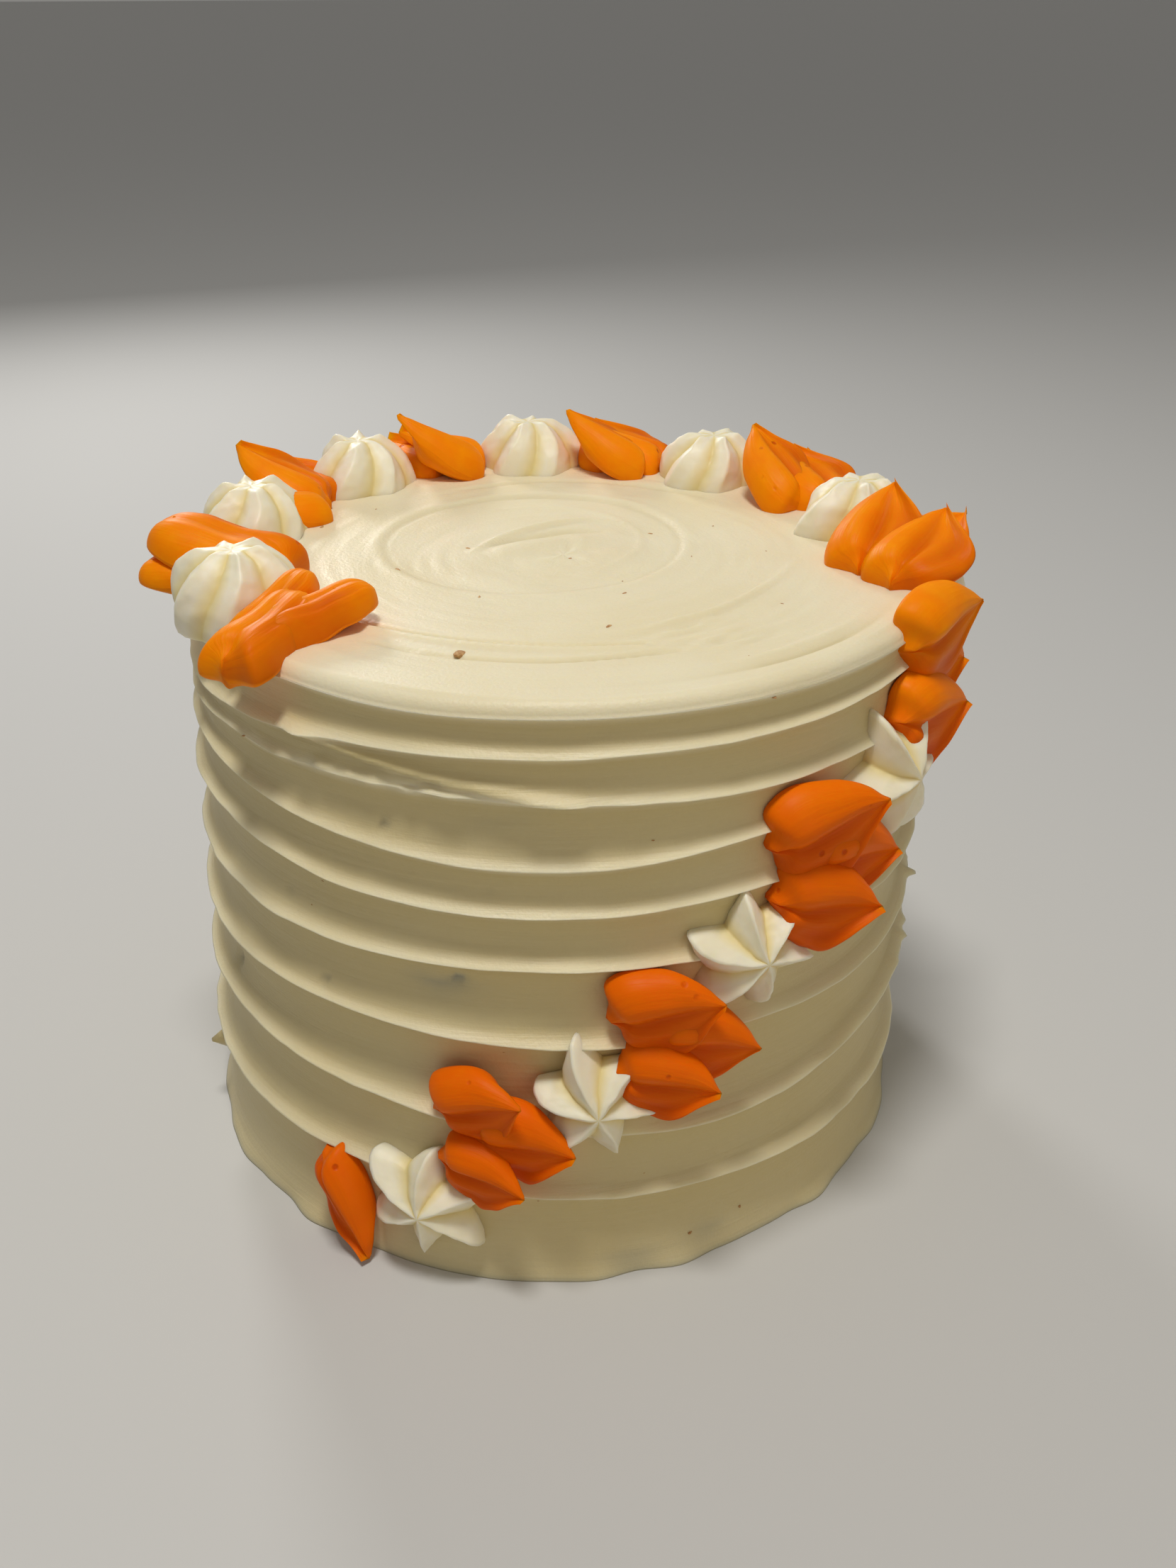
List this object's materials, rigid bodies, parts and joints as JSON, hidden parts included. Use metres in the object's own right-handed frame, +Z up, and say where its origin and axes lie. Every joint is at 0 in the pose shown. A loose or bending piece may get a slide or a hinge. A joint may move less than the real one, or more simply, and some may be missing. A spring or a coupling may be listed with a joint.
{
  "type": "carrot cake",
  "caption": "Tall round carrot cake in ridged cream-cheese frosting, with a garland of piped orange leaves and cream stars climbing the wall and running round the rim.",
  "frame": {"origin": "centre of the underside, where the cake rests", "axes": "+Z up, -Y towards the front, +X to the right; the garland starts low at the front left and climbs to the right"},
  "size_m": [0.1633, 0.161, 0.1364],
  "materials": {
    "frosting": "soft satin cream-cheese frosting, spread with a spatula",
    "star_cream": "soft satin piped cream-cheese frosting",
    "leaf_orange": "soft satin piped orange frosting"
  },
  "bodies": {
    "root": {"frosted_cake": "frosting", "leaf_01": "leaf_orange", "leaf_02": "leaf_orange", "leaf_03": "leaf_orange", "leaf_04": "leaf_orange", "leaf_05": "leaf_orange", "leaf_06": "leaf_orange", "leaf_07": "leaf_orange", "leaf_08": "leaf_orange", "leaf_09": "leaf_orange", "leaf_10": "leaf_orange", "leaf_11": "leaf_orange", "leaf_12": "leaf_orange", "leaf_13": "leaf_orange", "leaf_14": "leaf_orange", "leaf_15": "leaf_orange", "leaf_16": "leaf_orange", "leaf_17": "leaf_orange", "leaf_18": "leaf_orange", "leaf_19": "leaf_orange", "leaf_20": "leaf_orange", "leaf_21": "leaf_orange", "leaf_22": "leaf_orange", "leaf_23": "leaf_orange", "leaf_24": "leaf_orange", "leaf_25": "leaf_orange", "leaf_26": "leaf_orange", "leaf_27": "leaf_orange", "leaf_28": "leaf_orange", "leaf_29": "leaf_orange", "leaf_30": "leaf_orange", "leaf_31": "leaf_orange", "leaf_32": "leaf_orange", "leaf_33": "leaf_orange", "leaf_34": "leaf_orange", "star_01": "star_cream", "star_02": "star_cream", "star_03": "star_cream", "star_04": "star_cream", "star_05": "star_cream", "star_06": "star_cream", "star_07": "star_cream", "star_08": "star_cream", "star_09": "star_cream", "star_10": "star_cream", "star_11": "star_cream"}
  },
  "joints": []
}
